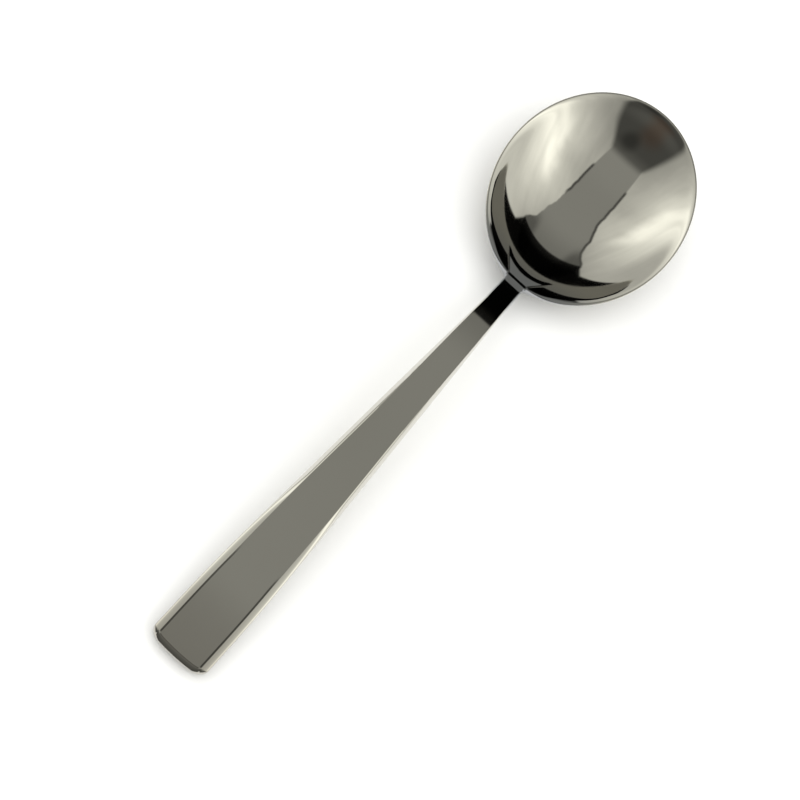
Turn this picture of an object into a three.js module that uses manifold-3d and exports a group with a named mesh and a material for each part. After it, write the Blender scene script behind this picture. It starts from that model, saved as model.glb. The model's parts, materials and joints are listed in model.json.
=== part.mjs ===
// A polished serving spoon with a near-round bowl, a slim cranked neck and a thick,
// flat handle that widens to a blunt end.
// The bowl, the neck and a tang are one forging. The handle is hollow: two pressed half
// shells, brazed together along the sides, hold a cement filler that beds the tang.
// The spoon is drawn in the plane of the bowl's rim, with +X towards the bowl's tip,
// and is then laid on its back as it lies on a table.

import * as THREE from 'three';
import { mergeVertices } from 'three/addons/utils/BufferGeometryUtils.js';
import Module from 'manifold-3d';

const wasm = await Module();
wasm.setup();

// Bowl, in millimetres
const bowlLength = 70;
const bowlWidth = 57.4;
const bowlDepth = 13.2;
const bowlFloor = 1.7;
const rimThickness = 1.1;
const rimRound = 0.55;
const rimRoll = 0.9;
const nearRoll = 2;
const nearStart = 10;
const nearLip = 1.8;
const nearDepth = 1.1;
const footDepth = 0.2;
const footRadius = 3.2;

// Neck: its rise from the rim, and the heel that carries it into the back of the bowl
const neckWidth = 6.6;
const neckThickness = 4.2;
const neckEdge = 0.6;
const neckRise = 20.4;
const neckSweep = 82;
const neckLedge = 1.8;
const neckLedgeRound = 0.2;
const neckWindow = 3.4;
const heelLength = 12;
const heelWidth = 11;

// Ledge inside the rim on which the neck starts, with a small step across it
const rootDip = 1.35;
const rootSlope = 0.28;
const rootReach = 8;
const rootStep = 0.2;
const rootStepStart = -1.6;
const rootStepEnd = -0.5;
const rootWidth = 6.8;
const rootFlare = 0.75;
const rootFlareStart = -1.4;
const rootFlank = 2;
const rootFlankRound = 0.2;
const rootRound = 0.15;

// Handle, measured back from the bowl's rim
const handleLength = 144.1;
const handleWidth = 18.5;
const handleThickness = 5.8;
const handleEdge = 1.9;
const handlePitch = 5;
const taperStart = 10;
const taperEnd = 121;
const taperSoftness = 5;
const edgeGrowth = 65;
const thicknessGrowth = 40;
const cornerLength = 2.6;
const cornerWidth = 4.2;
const cornerEdge = 0.35;
const cornerRound = 0.2;
const endBevel = 1.4;
const endDrop = 1.05;
const endBackBevel = 2.6;
const endBackDrop = 2.5;
const endBow = 0.7;
const endBowReach = 12;
const shoulderLean = 9.7;
const shoulderShare = 0.42;
const shoulderGrowth = 8;
const sideBevel = 1;
const sideDrop = 12;

// Inside the handle
const mouthDistance = 16;
const shellWall = 0.9;
const endWall = 2.8;
const seamBraze = 0.25;
const mouthBraze = 0.5;
const seatGap = 0.06;
const tangLength = 62;
const tangWidth = 4;
const tangThickness = 2;
const tangTipWidth = 2.8;
const tangTipThickness = 1.6;
const tangGap = 0.15;

// Shape of the blends and fineness of the facets
const outlineBlend = 3;
const heelSquareness = 4;
const bevelPower = 1.15;
const slopeStep = 0.02;
const bowlStations = 30;
const ringSteps = 14;
const acrossSteps = 4;
const lipSteps = 4;
const neckStep = 2.6;
const keelStep = 0.5;
const handleStep = 5;
const cornerSteps = 8;

// Worked out from the sizes above
const halfLength = bowlLength / 2;
const halfBreadth = bowlWidth / 2;
const wallAngle = 2 * Math.atan(bowlDepth / halfLength);
const pitchSlope = Math.tan(THREE.MathUtils.degToRad(handlePitch));
const shoulderSlope = Math.tan(THREE.MathUtils.degToRad(shoulderLean));
const shoulder = mouthDistance - mouthBraze - seatGap;
const cavityEnd = handleLength - endWall;

// Curves that the pieces share

const mix = (from, to, share) => from + (to - from) * share;

const ease = (from, to, value) => THREE.MathUtils.smoothstep(value, from, to);

// The value where it is positive and nothing below, with a rounded corner between
const soften = (value, width) => (
  Math.max(0, value) + width * Math.log1p(Math.exp(-Math.abs(value) / width)));

// Height of the middle of the top face above the rim, at a distance behind the rim:
// a cubic sweep out of the dip at the neck's root that ends in the straight, falling handle
function topLine(behind) {
  const along = soften(behind - neckLedge, neckLedgeRound);
  const left = Math.max(0, 1 - along / neckSweep);
  return neckRise * (1 - left ** 3) - pitchSlope * along - rootDip;
}

// Half the width of the neck and handle: a straight taper between two parallel stretches
function taper(behind) {
  const start = soften(behind - taperStart, taperSoftness);
  const end = soften(behind - taperEnd, taperSoftness);
  const share = (start - end) / (taperEnd - taperStart);
  return mix(neckWidth, handleWidth, share) / 2;
}

// How far the elliptical corners of the blunt end lie inside the taper
function cornerInset(behind) {
  const past = Math.max(0, behind - (handleLength - cornerLength)) / cornerLength;
  return cornerWidth * (1 - Math.sqrt(Math.max(0, 1 - past ** 2)));
}

const handleHalf = (behind) => taper(behind) - cornerInset(behind);

const thickness = (behind) => mix(neckThickness, handleThickness, ease(0, thicknessGrowth, behind));

// Width of the rounded sides, which the corners cut into until a narrow edge is left
function sideRound(behind) {
  const full = mix(neckEdge, handleEdge, ease(taperStart, edgeGrowth, behind));
  return cornerEdge + soften(full - cornerEdge - cornerInset(behind), cornerRound);
}

// Half the thickness, bevelled down at the end, and more so at the back
function halfThickness(behind, face) {
  const bevel = face > 0 ? endBevel : endBackBevel;
  const drop = face > 0 ? endDrop : endBackDrop;
  const past = Math.max(0, behind - (handleLength - bevel)) / bevel;
  return thickness(behind) / 2 - drop * past ** bevelPower;
}

const middleLine = (behind) => topLine(behind) - thickness(behind) / 2;

// A point of a cross-section. The gently bowed end carries its sides forward along the line
// of the handle.
function onHandle(behind, y, z) {
  const bow = endBow * ease(handleLength - endBowReach, handleLength, behind);
  const forward = bow * (y / (handleWidth / 2)) ** 2;
  const climb = middleLine(behind - forward) - middleLine(behind);
  return [forward - halfLength - behind, y, z + climb];
}

// Half the width of the bowl and neck in plan, at a place along the spoon: the bowl's
// ellipse and the neck, joined by a power sum that rounds the two inner corners
function planHalf(x) {
  const ellipse = halfBreadth * Math.sqrt(Math.max(0, 1 - (x / halfLength) ** 2));
  const neck = taper(-halfLength - x) * ease(0, halfLength, -x);
  return (ellipse ** outlineBlend + neck ** outlineBlend) ** (1 / outlineBlend);
}

// Depth of a circular arc below its chord, as a share, at a share of the half chord
function arcShare(share) {
  const level = Math.sqrt(1 - (Math.min(1, share) * Math.sin(wallAngle)) ** 2);
  return (level - Math.cos(wallAngle)) / (1 - Math.cos(wallAngle));
}

// The ledge on which the neck starts: a gentle slope with one small step, flat across a
// width that flares into the bowl, and flanks that rise from there to the rim
function rootLedge(behind, y) {
  const slope = rootSlope * soften(neckLedge - behind, neckLedgeRound);
  const lift = soften(-rootReach - behind, rootRound);
  const step = rootStep * (1 - ease(rootStepStart, rootStepEnd, behind));
  const half = rootWidth / 2 + rootFlare * soften(rootFlareStart - behind, rootRound);
  const flank = rootFlank * soften(Math.abs(y) - half, rootFlankRound) * (1 - ease(0, neckWindow, behind));
  return flank + lift - rootDip - slope - step;
}

// Inside of the bowl, its rim, which rolls over more widely near the neck, and the top of the neck
function topHeight(x, y) {
  const behind = -halfLength - x;
  const out = Math.hypot(x / (halfLength - rimRound), y / (halfBreadth - rimRound));
  const roll = mix(rimRoll, nearRoll, ease(nearStart, halfLength, -x)) / halfLength;
  const wall = -bowlDepth * arcShare(1 - soften(1 - out, roll));
  const lower = wall - soften(wall - rootLedge(behind, y), rootRound);
  return topLine(behind) + rootDip + lower;
}

// Back of the bowl and neck, with a rim that is deeper near the neck and the heel that thickens
// the bowl where the neck leaves it
function backHeight(x, y) {
  const behind = -halfLength - x;
  const out = Math.hypot(x / halfLength, y / halfBreadth);
  const along = 1 - ease(0, heelLength, -behind);
  const across = 1 / (1 + (y / (heelWidth / 2)) ** heelSquareness);
  const spread = mix(across, 1, ease(0, neckWindow, behind));
  const rim = rimThickness + nearDepth * ease(0, halfLength, -x);
  const heel = (thickness(Math.max(0, behind)) - rim + rootDip) * along * spread;
  const wall = (bowlDepth + bowlFloor - rim) * arcShare(out);
  return topLine(behind) + rootDip - rim - heel - wall;
}

// Closed skins built from rings of points

class Skin {
  constructor() {
    this.points = [];
    this.faces = [];
  }

  add(point) {
    return this.points.push(point) - 1;
  }

  ring(points) {
    return points.map((point) => this.add(point));
  }

  quad(a, b, c, d) {
    this.faces.push([a, b, c], [a, c, d]);
  }

  // A strip of faces from one row of points to the next
  strip(first, second) {
    for (let i = 0; i + 1 < first.length; i += 1) {
      this.quad(first[i], second[i], second[i + 1], first[i + 1]);
    }
  }

  band(first, second) {
    this.strip([...first, first[0]], [...second, second[0]]);
  }

  fan(centre, ring) {
    const hub = this.add(centre);
    ring.forEach((point, i) => this.faces.push([hub, point, ring[(i + 1) % ring.length]]));
  }

  geometry() {
    const geometry = new THREE.BufferGeometry();
    geometry.setAttribute('position', new THREE.Float32BufferAttribute(this.points.flat(), 3));
    geometry.setIndex(this.faces.flat());
    return geometry;
  }
}

// The middle of a cross-section, as far back as its furthest point
function middleOf(points) {
  const mean = (axis) => points.reduce((sum, point) => sum + point[axis], 0) / points.length;
  return [Math.min(...points.map(([x]) => x)), mean(1), mean(2)];
}

// A closed solid through cross-sections that run back along the handle
function loft(sections) {
  const skin = new Skin();
  const rings = sections.map((points) => skin.ring(points));
  skin.fan(middleOf(sections[0]), rings[0]);
  rings.slice(1).forEach((ring, i) => skin.band(rings[i], ring));
  skin.fan(middleOf(sections.at(-1)), [...rings.at(-1)].reverse());
  return skin.geometry();
}

// A cross-section with flat top and back and half-elliptical sides
function section(behind, top, back, half, edge) {
  const middle = (top + back) / 2;
  const rise = (top - back) / 2;
  const flat = half - edge;
  const ring = [];
  for (const face of [1, -1]) {
    for (let i = 0; i <= acrossSteps; i += 1) {
      const across = face * flat * (1 - (2 * i) / acrossSteps);
      ring.push(onHandle(behind, across, middle + face * rise));
    }
    for (let i = 1; i < lipSteps; i += 1) {
      const turn = (Math.PI * i) / lipSteps;
      const reach = flat + edge * Math.sin(turn);
      ring.push(onHandle(behind, -face * reach, middle + face * rise * Math.cos(turn)));
    }
  }
  return ring;
}

// The front or back half of the handle's cross-section: a flat face, a soft shoulder that
// leans a little, and a side down to the seam that grows from an ellipse to a rounded bevel
function halfSection(behind, face) {
  const rise = halfThickness(behind, face);
  const edge = sideRound(behind);
  const flat = handleHalf(behind) - edge;
  const start = flat - shoulderShare * edge;
  const growth = ease(mouthDistance, mouthDistance + shoulderGrowth, behind);
  const lean = (shoulderSlope * growth * rise) / (thickness(behind) / 2);
  const fall = lean * (flat + edge - start);
  const seam = seamBraze / 2 + seatGap;
  const bevelled = mix(2, sideBevel, growth);
  const dropped = mix(2, sideDrop, growth);
  const side = [];
  for (let i = 1; i < acrossSteps / 2; i += 1) side.push([(2 * start * i) / acrossSteps, rise]);
  side.push([start, rise]);
  for (let i = 0; i <= lipSteps; i += 1) {
    const out = Math.sin((Math.PI / 2) * (i / lipSteps));
    const level = (1 - out ** bevelled) ** (1 / dropped);
    const y = flat + edge * out;
    side.push([y, seam + (rise - seam - fall) * level + fall - lean * (y - start)]);
  }
  const far = side.map(([y, z]) => [-y, z]);
  const ring = [...side.reverse(), [0, rise], ...far].map(([y, z]) => (
    onHandle(behind, y, middleLine(behind) + face * z)));
  return face > 0 ? ring : ring.reverse();
}

// Places along the handle: even steps, then closer ones round the corners of the end
function stations(from, to, step) {
  const count = Math.max(1, Math.round((to - from) / step));
  return Array.from({ length: count + 1 }, (_, i) => mix(from, to, i / count));
}

function handleStations() {
  const places = stations(mouthDistance, handleLength - cornerLength, handleStep);
  for (let i = 1; i <= cornerSteps; i += 1) {
    places.push(handleLength - cornerLength * (1 - Math.sin((Math.PI / 2) * (i / cornerSteps))));
  }
  return places;
}

// The handle's outer section drawn in by a wall
function innerSection(behind, wall) {
  const rise = thickness(behind) / 2 - wall;
  const middle = middleLine(behind);
  const half = handleHalf(behind) - wall;
  return section(behind, middle + rise, middle - rise, half, sideRound(behind));
}

// The tang's section, which narrows evenly to its tip, grown by a clearance
function tangSection(behind, clearance) {
  const share = (behind - shoulder) / tangLength;
  const half = mix(tangWidth, tangTipWidth, share) / 2 + clearance;
  const rise = mix(tangThickness, tangTipThickness, share) / 2 + clearance;
  const middle = middleLine(behind);
  return section(behind, middle + rise, middle - rise, half, rise / 2);
}

// Joining and cutting closed solids

function solidOf(geometry) {
  const bare = geometry.clone();
  bare.deleteAttribute('normal');
  bare.deleteAttribute('uv');
  const merged = mergeVertices(bare);
  const mesh = new wasm.Mesh({
    numProp: 3,
    vertProperties: new Float32Array(merged.attributes.position.array),
    triVerts: new Uint32Array(merged.index.array),
  });
  return new wasm.Manifold(mesh);
}

function cut(body, tool) {
  const mesh = solidOf(body).subtract(solidOf(tool)).getMesh();
  const geometry = new THREE.BufferGeometry();
  geometry.setAttribute('position', new THREE.Float32BufferAttribute(mesh.vertProperties, 3));
  geometry.setIndex([...mesh.triVerts]);
  return geometry;
}

// How the spoon lies on its back: the tilt at which the bowl's foot and the handle's end
// touch the table together, found by halving

const tilted = ([x, , z], tilt) => z * Math.cos(tilt) - x * Math.sin(tilt);

const lowest = (points, tilt) => Math.min(...points.map((point) => tilted(point, tilt)));

const keel = stations(-halfLength, halfLength, keelStep).map((x) => [x, 0, backHeight(x, 0)]);

const handleKeel = handleStations().map((behind) => (
  [-halfLength - behind, 0, middleLine(behind) - halfThickness(behind, -1)]));

function restingTilt() {
  let low = -Math.PI / 4;
  let high = Math.PI / 4;
  for (let i = 0; i < 50; i += 1) {
    const tilt = (low + high) / 2;
    const handleLower = lowest(handleKeel, tilt) < lowest(keel, tilt) + footDepth;
    if (handleLower) low = tilt;
    else high = tilt;
  }
  return (low + high) / 2;
}

const restTilt = restingTilt();
const tableLevel = lowest(keel, restTilt) + footDepth;

// Where the bowl meets the table
const footPlace = keel.reduce((best, point) => (
  tilted(point, restTilt) < tilted(best, restTilt) ? point : best))[0];

// The back of the bowl with its small flat foot
function footedHeight(x, y) {
  const table = (tableLevel + x * Math.sin(restTilt)) / Math.cos(restTilt);
  return Math.max(backHeight(x, y), table);
}

// Pieces

// The bowl is two sheets that share a plan outline, joined by a rounded lip. The outline
// leaves a window at the neck, and there the sheets and the lips run on into the neck.
function bowlForging() {
  const skin = new Skin();
  const outline = bowlOutline();
  const corner = outline[0];
  const windowAcross = (inset) => Array.from({ length: acrossSteps - 1 }, (_, i) => (
    [corner.x, (-corner.y - inset) * (1 - (2 * (i + 1)) / acrossSteps)]));
  const lip = outline.map((place) => lipPoints(place).map((point) => skin.add(point)));
  const topWindow = windowAcross(rimRound).map(([x, y]) => skin.add([x, y, topHeight(x, y)]));
  const backWindow = windowAcross(rimRound).map(([x, y]) => skin.add([x, y, backHeight(x, y)]));
  const topLoop = [...lip.map((points) => points[0]), ...topWindow];
  const backLoop = [...lip.map((points) => points.at(-1)), ...backWindow];

  sheet(skin, topLoop, [0, 0], 0, topHeight, false);
  sheet(skin, backLoop, [footPlace, 0], footRadius, footedHeight, true);
  for (let row = 0; row < lipSteps; row += 1) {
    skin.strip(lip.map((points) => points[row]), lip.map((points) => points[row + 1]));
  }

  const left = lip[0].slice(1, -1);
  const right = lip.at(-1).slice(1, -1).reverse();
  let ring = [lip.at(-1)[0], ...topWindow, lip[0][0], ...left];
  ring = [...ring, lip[0].at(-1), ...[...backWindow].reverse(), lip.at(-1).at(-1), ...right];
  for (const points of neckAndTang()) {
    const next = skin.ring(points);
    skin.band(ring, next);
    ring = next;
  }
  skin.fan(middleOf(ring.map((index) => skin.points[index])), [...ring].reverse());
  return skin.geometry();
}

// Places on the plan outline, from the neck's window round the tip and back
function bowlOutline() {
  const side = Array.from({ length: bowlStations }, (_, i) => (
    halfLength * Math.cos((Math.PI * (i + 1)) / bowlStations)));
  side.push(-halfLength - neckWindow / 2, -halfLength - neckWindow);
  const far = side.map((x) => ({ x, y: planHalf(x) }));
  const near = far.map(({ x, y }) => ({ x, y: -y })).reverse();
  const places = [...near, { x: halfLength, y: 0 }, ...far];
  return places.map((place, i) => {
    const before = places[Math.max(0, i - 1)];
    const after = places[Math.min(places.length - 1, i + 1)];
    const run = Math.hypot(after.x - before.x, after.y - before.y);
    return { ...place, outX: (after.y - before.y) / run, outY: (before.x - after.x) / run };
  });
}

// The rounded lip at a place on the outline, from the top sheet to the back sheet: each end
// leaves its sheet along that sheet's own slope
function lipPoints({ x, y, outX, outY }) {
  const behind = -halfLength - x;
  const near = ease(-halfLength, 0, behind) * (1 - ease(-nearLip, neckWindow, behind));
  const inset = rimRound + nearLip * near;
  const inX = x - outX * inset;
  const inY = y - outY * inset;
  const along = (height, reach) => height(inX + outX * reach, inY + outY * reach);
  const slope = (height) => (along(height, slopeStep) - along(height, -slopeStep)) / (2 * slopeStep);
  return Array.from({ length: lipSteps + 1 }, (_, i) => {
    const turn = (Math.PI * i) / lipSteps;
    const reach = inset * Math.sin(turn);
    const top = along(topHeight, 0) + reach * slope(topHeight);
    const back = along(backHeight, 0) + reach * slope(backHeight);
    return [inX + outX * reach, inY + outY * reach, mix(top, back, (1 - Math.cos(turn)) / 2)];
  });
}

// A sheet of rings that shrink from a loop to a centre, closer together near the loop
function sheet(skin, loop, centre, innerRadius, height, isBack) {
  const edge = loop.map((index) => skin.points[index]);
  const place = (point, share) => [0, 1].map((axis) => mix(centre[axis], point[axis], share));
  const raised = ([x, y]) => skin.add([x, y, height(x, y)]);
  const least = innerRadius / (halfBreadth + Math.abs(centre[0]));
  let ring = loop;
  for (let i = ringSteps - 1; i > 0; i -= 1) {
    const share = mix(least, 1, Math.sin((Math.PI / 2) * (i / ringSteps)));
    const next = edge.map((point) => raised(place(point, share)));
    if (isBack) skin.band(ring, next);
    else skin.band(next, ring);
    ring = next;
  }
  if (innerRadius > 0) {
    const next = edge.map((point) => raised(place(point, least)));
    skin.band(ring, next);
    ring = next;
  }
  skin.fan([...centre, height(...centre)], isBack ? [...ring].reverse() : ring);
}

// Sections from the window down the neck to its shoulder, then the tang
function neckAndTang() {
  const neck = stations(neckWindow, shoulder, neckStep).slice(1).map((behind) => (
    section(behind, topLine(behind), topLine(behind) - thickness(behind),
      taper(behind), sideRound(behind))));
  const tang = stations(shoulder, shoulder + tangLength, handleStep);
  return [...neck, ...tang.map((behind) => tangSection(behind, 0))];
}

function cavity() {
  const places = stations(mouthDistance - mouthBraze, cavityEnd, handleStep);
  return loft(places.map((behind) => innerSection(behind, shellWall)));
}

const handleShell = (face) => cut(
  loft(handleStations().map((behind) => halfSection(behind, face))), cavity());

// The layer of braze that joins the two half shells along their sides and end
function seamLayer() {
  const band = handleStations().map((behind) => section(behind,
    middleLine(behind) + seamBraze / 2, middleLine(behind) - seamBraze / 2,
    handleHalf(behind), seamBraze / 2));
  return cut(loft(band), cavity());
}

// The ring of braze between the neck's shoulder and the mouth of the shells
function mouthRing() {
  const places = [shoulder + seatGap, mouthDistance - seatGap];
  const ring = places.map((behind) => section(behind, topLine(behind),
    topLine(behind) - thickness(behind), taper(behind), sideRound(behind)));
  const bore = stations(shoulder, mouthDistance, mouthBraze);
  return cut(loft(ring), loft(bore.map((behind) => tangSection(behind, tangGap))));
}

// The cement core, with the socket that the tang is bedded in
function fillerCore() {
  const places = stations(mouthDistance, cavityEnd - seatGap, handleStep);
  const core = loft(places.map((behind) => innerSection(behind, shellWall + seatGap)));
  const depth = tangLength + tangGap;
  const socket = stations(shoulder, shoulder + depth, handleStep);
  return cut(core, loft(socket.map((behind) => tangSection(behind, tangGap))));
}

// Finishes and assembly

const polishedSteel = new THREE.MeshStandardMaterial({ color: 0xc9c7c1, metalness: 1, roughness: 0.1 });
const brazeMetal = new THREE.MeshStandardMaterial({ color: 0xc4bfae, metalness: 1, roughness: 0.3 });
const cement = new THREE.MeshStandardMaterial({ color: 0x4a3f36, metalness: 0, roughness: 0.8 });

const spoon = new THREE.Group();

function place(name, geometry, material) {
  const mesh = new THREE.Mesh(geometry, material);
  mesh.name = name;
  spoon.add(mesh);
}

place('bowl', bowlForging(), polishedSteel);
place('handle_front', handleShell(1), polishedSteel);
place('handle_back', handleShell(-1), polishedSteel);
place('seam_braze', seamLayer(), brazeMetal);
place('mouth_braze', mouthRing(), brazeMetal);
place('handle_filler', fillerCore(), cement);

// Laid on the table with the middle of its length over the origin
spoon.rotation.y = restTilt;
spoon.position.z = -tableLevel;
spoon.updateMatrixWorld(true);
const box = new THREE.Box3().setFromObject(spoon, true);
spoon.position.x = -(box.min.x + box.max.x) / 2;

export default spoon;
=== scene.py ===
"""A polished steel serving spoon on a pale table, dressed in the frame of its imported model.

The steel pieces are fine surfaces worked out from the same curves as the solids. They are drawn
in the plane of the bowl's rim, in millimetres, with +X towards the bowl's tip, and are then laid
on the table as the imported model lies. Distances called "behind" run back from the rim.
"""

import json
import math

import bmesh
import bpy
import numpy as np
from mathutils import Matrix, Vector


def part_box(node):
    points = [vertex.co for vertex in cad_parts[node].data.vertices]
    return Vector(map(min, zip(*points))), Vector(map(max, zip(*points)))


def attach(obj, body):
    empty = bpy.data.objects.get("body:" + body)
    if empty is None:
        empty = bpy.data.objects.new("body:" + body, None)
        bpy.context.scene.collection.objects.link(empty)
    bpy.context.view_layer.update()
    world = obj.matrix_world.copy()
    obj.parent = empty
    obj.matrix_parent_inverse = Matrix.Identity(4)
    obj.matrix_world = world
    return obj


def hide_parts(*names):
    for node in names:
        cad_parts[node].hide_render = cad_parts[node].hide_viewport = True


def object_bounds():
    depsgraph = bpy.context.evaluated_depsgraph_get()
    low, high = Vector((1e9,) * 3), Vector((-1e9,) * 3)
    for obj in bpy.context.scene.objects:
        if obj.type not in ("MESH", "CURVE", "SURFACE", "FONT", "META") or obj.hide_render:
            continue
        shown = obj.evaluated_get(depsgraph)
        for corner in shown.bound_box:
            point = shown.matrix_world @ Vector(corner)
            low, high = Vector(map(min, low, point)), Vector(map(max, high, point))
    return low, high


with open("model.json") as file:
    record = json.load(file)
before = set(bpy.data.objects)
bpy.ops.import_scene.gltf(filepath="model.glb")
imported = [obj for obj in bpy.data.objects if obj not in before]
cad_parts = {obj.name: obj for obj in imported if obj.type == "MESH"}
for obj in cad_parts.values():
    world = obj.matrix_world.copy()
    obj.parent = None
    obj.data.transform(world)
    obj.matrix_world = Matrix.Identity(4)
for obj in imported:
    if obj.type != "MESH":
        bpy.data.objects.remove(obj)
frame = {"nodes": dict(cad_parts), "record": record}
cad_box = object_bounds()

MM = 0.001

# Bowl
BOWL_LENGTH = 70
BOWL_WIDTH = 57.4
BOWL_DEPTH = 13.2
BOWL_FLOOR = 1.7
RIM_THICKNESS = 1.1
RIM_ROUND = 0.55
RIM_ROLL = 0.9
NEAR_ROLL = 2
NEAR_START = 22
NEAR_LIP = 1.8
NEAR_LIP_END = 6.5
NEAR_DEPTH = 1.1
LIP_SLOPE = 1.5
FOOT_DEPTH = 0.2

# Neck and heel
NECK_WIDTH = 6.6
NECK_THICKNESS = 4.2
NECK_EDGE = 0.6
NECK_RISE = 20.4
NECK_SWEEP = 82
NECK_LEDGE = 1.8
NECK_LEDGE_ROUND = 0.2
ROOT_DIP = 1.35
ROOT_SLOPE = 0.28
ROOT_REACH = 8
ROOT_STEP = 0.2
ROOT_STEP_START = -1.6
ROOT_STEP_END = -0.5
ROOT_WIDTH = 6.8
ROOT_FLARE = 0.75
ROOT_FLARE_START = -1.4
ROOT_FLANK = 5
ROOT_FLANK_ROUND = 0.08
ROOT_ROUND = 0.15
HEEL_LENGTH = 12
HEEL_WIDTH = 11
WINDOW = 3.4

# Handle
HANDLE_LENGTH = 144.1
HANDLE_WIDTH = 18.5
HANDLE_THICKNESS = 5.8
HANDLE_EDGE = 1.9
HANDLE_PITCH = math.radians(5)
TAPER_START = 10
TAPER_END = 121
TAPER_SOFTNESS = 5
EDGE_GROWTH = 65
THICKNESS_GROWTH = 40
CORNER_LENGTH = 2.6
CORNER_WIDTH = 4.2
CORNER_EDGE = 0.35
CORNER_ROUND = 0.2
CORNER_FOLLOWED = 0.6
END_BEVEL = 1.4
END_DROP = 1.05
END_BACK_BEVEL = 2.6
END_BACK_DROP = 2.5
BEVEL_POWER = 1.15
END_ROUND = 0.25
END_BOW = 0.7
END_BOW_REACH = 12
SHOULDER_LEAN = math.radians(9.7)
SHOULDER_SHARE = 0.42
SHOULDER_ROUND = 0.04
SHOULDER_GROWTH = 8
SIDE_BEVEL = 1
SIDE_DROP = 2.4
SIDE_END_DROP = 12
SIDE_NARROW = 0.76
SIDE_CHANGE = 84
SIDE_CHANGED = 116

# Inside the handle
MOUTH = 16
SHELL_WALL = 0.9
SEAM_BRAZE = 0.25
MOUTH_BRAZE = 0.5
TANG_LENGTH = 62
TANG_WIDTH = 4
TANG_THICKNESS = 2
TANG_TIP_WIDTH = 2.8
TANG_TIP_THICKNESS = 1.6
TANG_GAP = 0.15
END_WALL = 2.8

# Blends and fineness
OUTLINE_BLEND = 3
HEEL_SQUARENESS = 4
ELLIPSE_POWER = 2
SLOPE_STEP = 0.02
LAST_STEP = 0.02
OUTLINE_STEPS = 190
LEDGE_STEPS = 14
ACROSS = 15
LIP = 14
TOP_RINGS = 96
BACK_RINGS = 56
RING_CROWDING = 0.6
SPINE_REACH = 30
NECK_STATIONS = 44
TANG_STATIONS = 24
HANDLE_STATIONS = 150
CORNER_STATIONS = 40
EDGE_STATIONS = 8
SIDE_POINTS = 18
SHOULDER_POINTS = 8
FACE_ACROSS = 29
SHARP_ANGLE = math.radians(40)
SAME_POINT = 1e-7

# Worked out from the sizes above and the frame
HALF_LENGTH = BOWL_LENGTH / 2
HALF_BREADTH = BOWL_WIDTH / 2
WALL_ANGLE = 2 * math.atan(BOWL_DEPTH / HALF_LENGTH)
PITCH_SLOPE = math.tan(HANDLE_PITCH)
SHOULDER = MOUTH - MOUTH_BRAZE
CAVITY_END = HANDLE_LENGTH - END_WALL
BOWL_LOW, BOWL_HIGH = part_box("bowl")
HANDLE_FACE = next(m for m in frame["record"]["mounts"] if m["name"] == "handle_face")["axis"]
REST_TILT = HANDLE_PITCH + math.atan2(HANDLE_FACE[0], HANDLE_FACE[2])


# Curves that the pieces share


def mix(start, end, share):
    """Straight-line mix of two values."""
    return start + (end - start) * share


def ease(start, end, value):
    """Smooth step from 0 to 1 between two places: 3s^2 - 2s^3 of the share s between them."""
    share = np.clip((value - start) / (end - start), 0, 1)
    return share * share * (3 - 2 * share)


def soften(value, width):
    """The value where it is positive and nothing below, with a corner rounded over a width."""
    return width * np.logaddexp(0, value / width)


def top_line(behind):
    """Height of the top face: a cubic rise that dies out along the sweep, less the handle's fall and
    the dip at the neck's root."""
    along = soften(behind - NECK_LEDGE, NECK_LEDGE_ROUND)
    left = np.maximum(0, 1 - along / NECK_SWEEP)
    return NECK_RISE * (1 - left**3) - PITCH_SLOPE * along - ROOT_DIP


def taper(behind):
    """Half the width: a straight taper with softened ends between two parallel stretches."""
    start = soften(behind - TAPER_START, TAPER_SOFTNESS)
    end = soften(behind - TAPER_END, TAPER_SOFTNESS)
    return mix(NECK_WIDTH, HANDLE_WIDTH, (start - end) / (TAPER_END - TAPER_START)) / 2


def corner_inset(behind):
    """How far the elliptical corners of the blunt end lie inside the taper."""
    past = np.maximum(0, behind - (HANDLE_LENGTH - CORNER_LENGTH)) / CORNER_LENGTH
    return CORNER_WIDTH * (1 - np.sqrt(np.maximum(0, 1 - past**2)))


def corner_gap(y, half):
    """How far the elliptical corners lie before the handle's end, at a place across, up to the share
    of a corner that the end's bevel follows."""
    past = np.clip(1 + (np.abs(y) - half) / CORNER_WIDTH, 0, CORNER_FOLLOWED)
    return CORNER_LENGTH * (1 - np.sqrt(1 - past**2))


def bevel_foot(bevel, drop):
    """Place where the end's bevel meets the rounded edge, and its lean there."""
    lean = math.atan(BEVEL_POWER * drop / bevel)
    return HANDLE_LENGTH - END_ROUND * (1 - math.sin(lean)), lean


def bevel_drop(behind, bevel, drop):
    """Drop of the face on the end's bevel, which steepens a little: a power of the share passed."""
    foot, _ = bevel_foot(bevel, drop)
    past = np.clip((behind - foot) / bevel + 1, 0, 1)
    return drop * past**BEVEL_POWER


def thickness(behind):
    """Thickness, which eases from the neck's to the handle's."""
    return mix(NECK_THICKNESS, HANDLE_THICKNESS, ease(0, THICKNESS_GROWTH, behind))


def side_round(behind):
    """Width of the rounded sides, which eases from the neck's to the handle's. The corners cut into it
    until a narrow edge is left."""
    full = mix(NECK_EDGE, HANDLE_EDGE, ease(TAPER_START, EDGE_GROWTH, behind))
    return CORNER_EDGE + soften(full - CORNER_EDGE - corner_inset(behind), CORNER_ROUND)


def middle_line(behind):
    """Height of the middle of the thickness."""
    return top_line(behind) - thickness(behind) / 2


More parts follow.
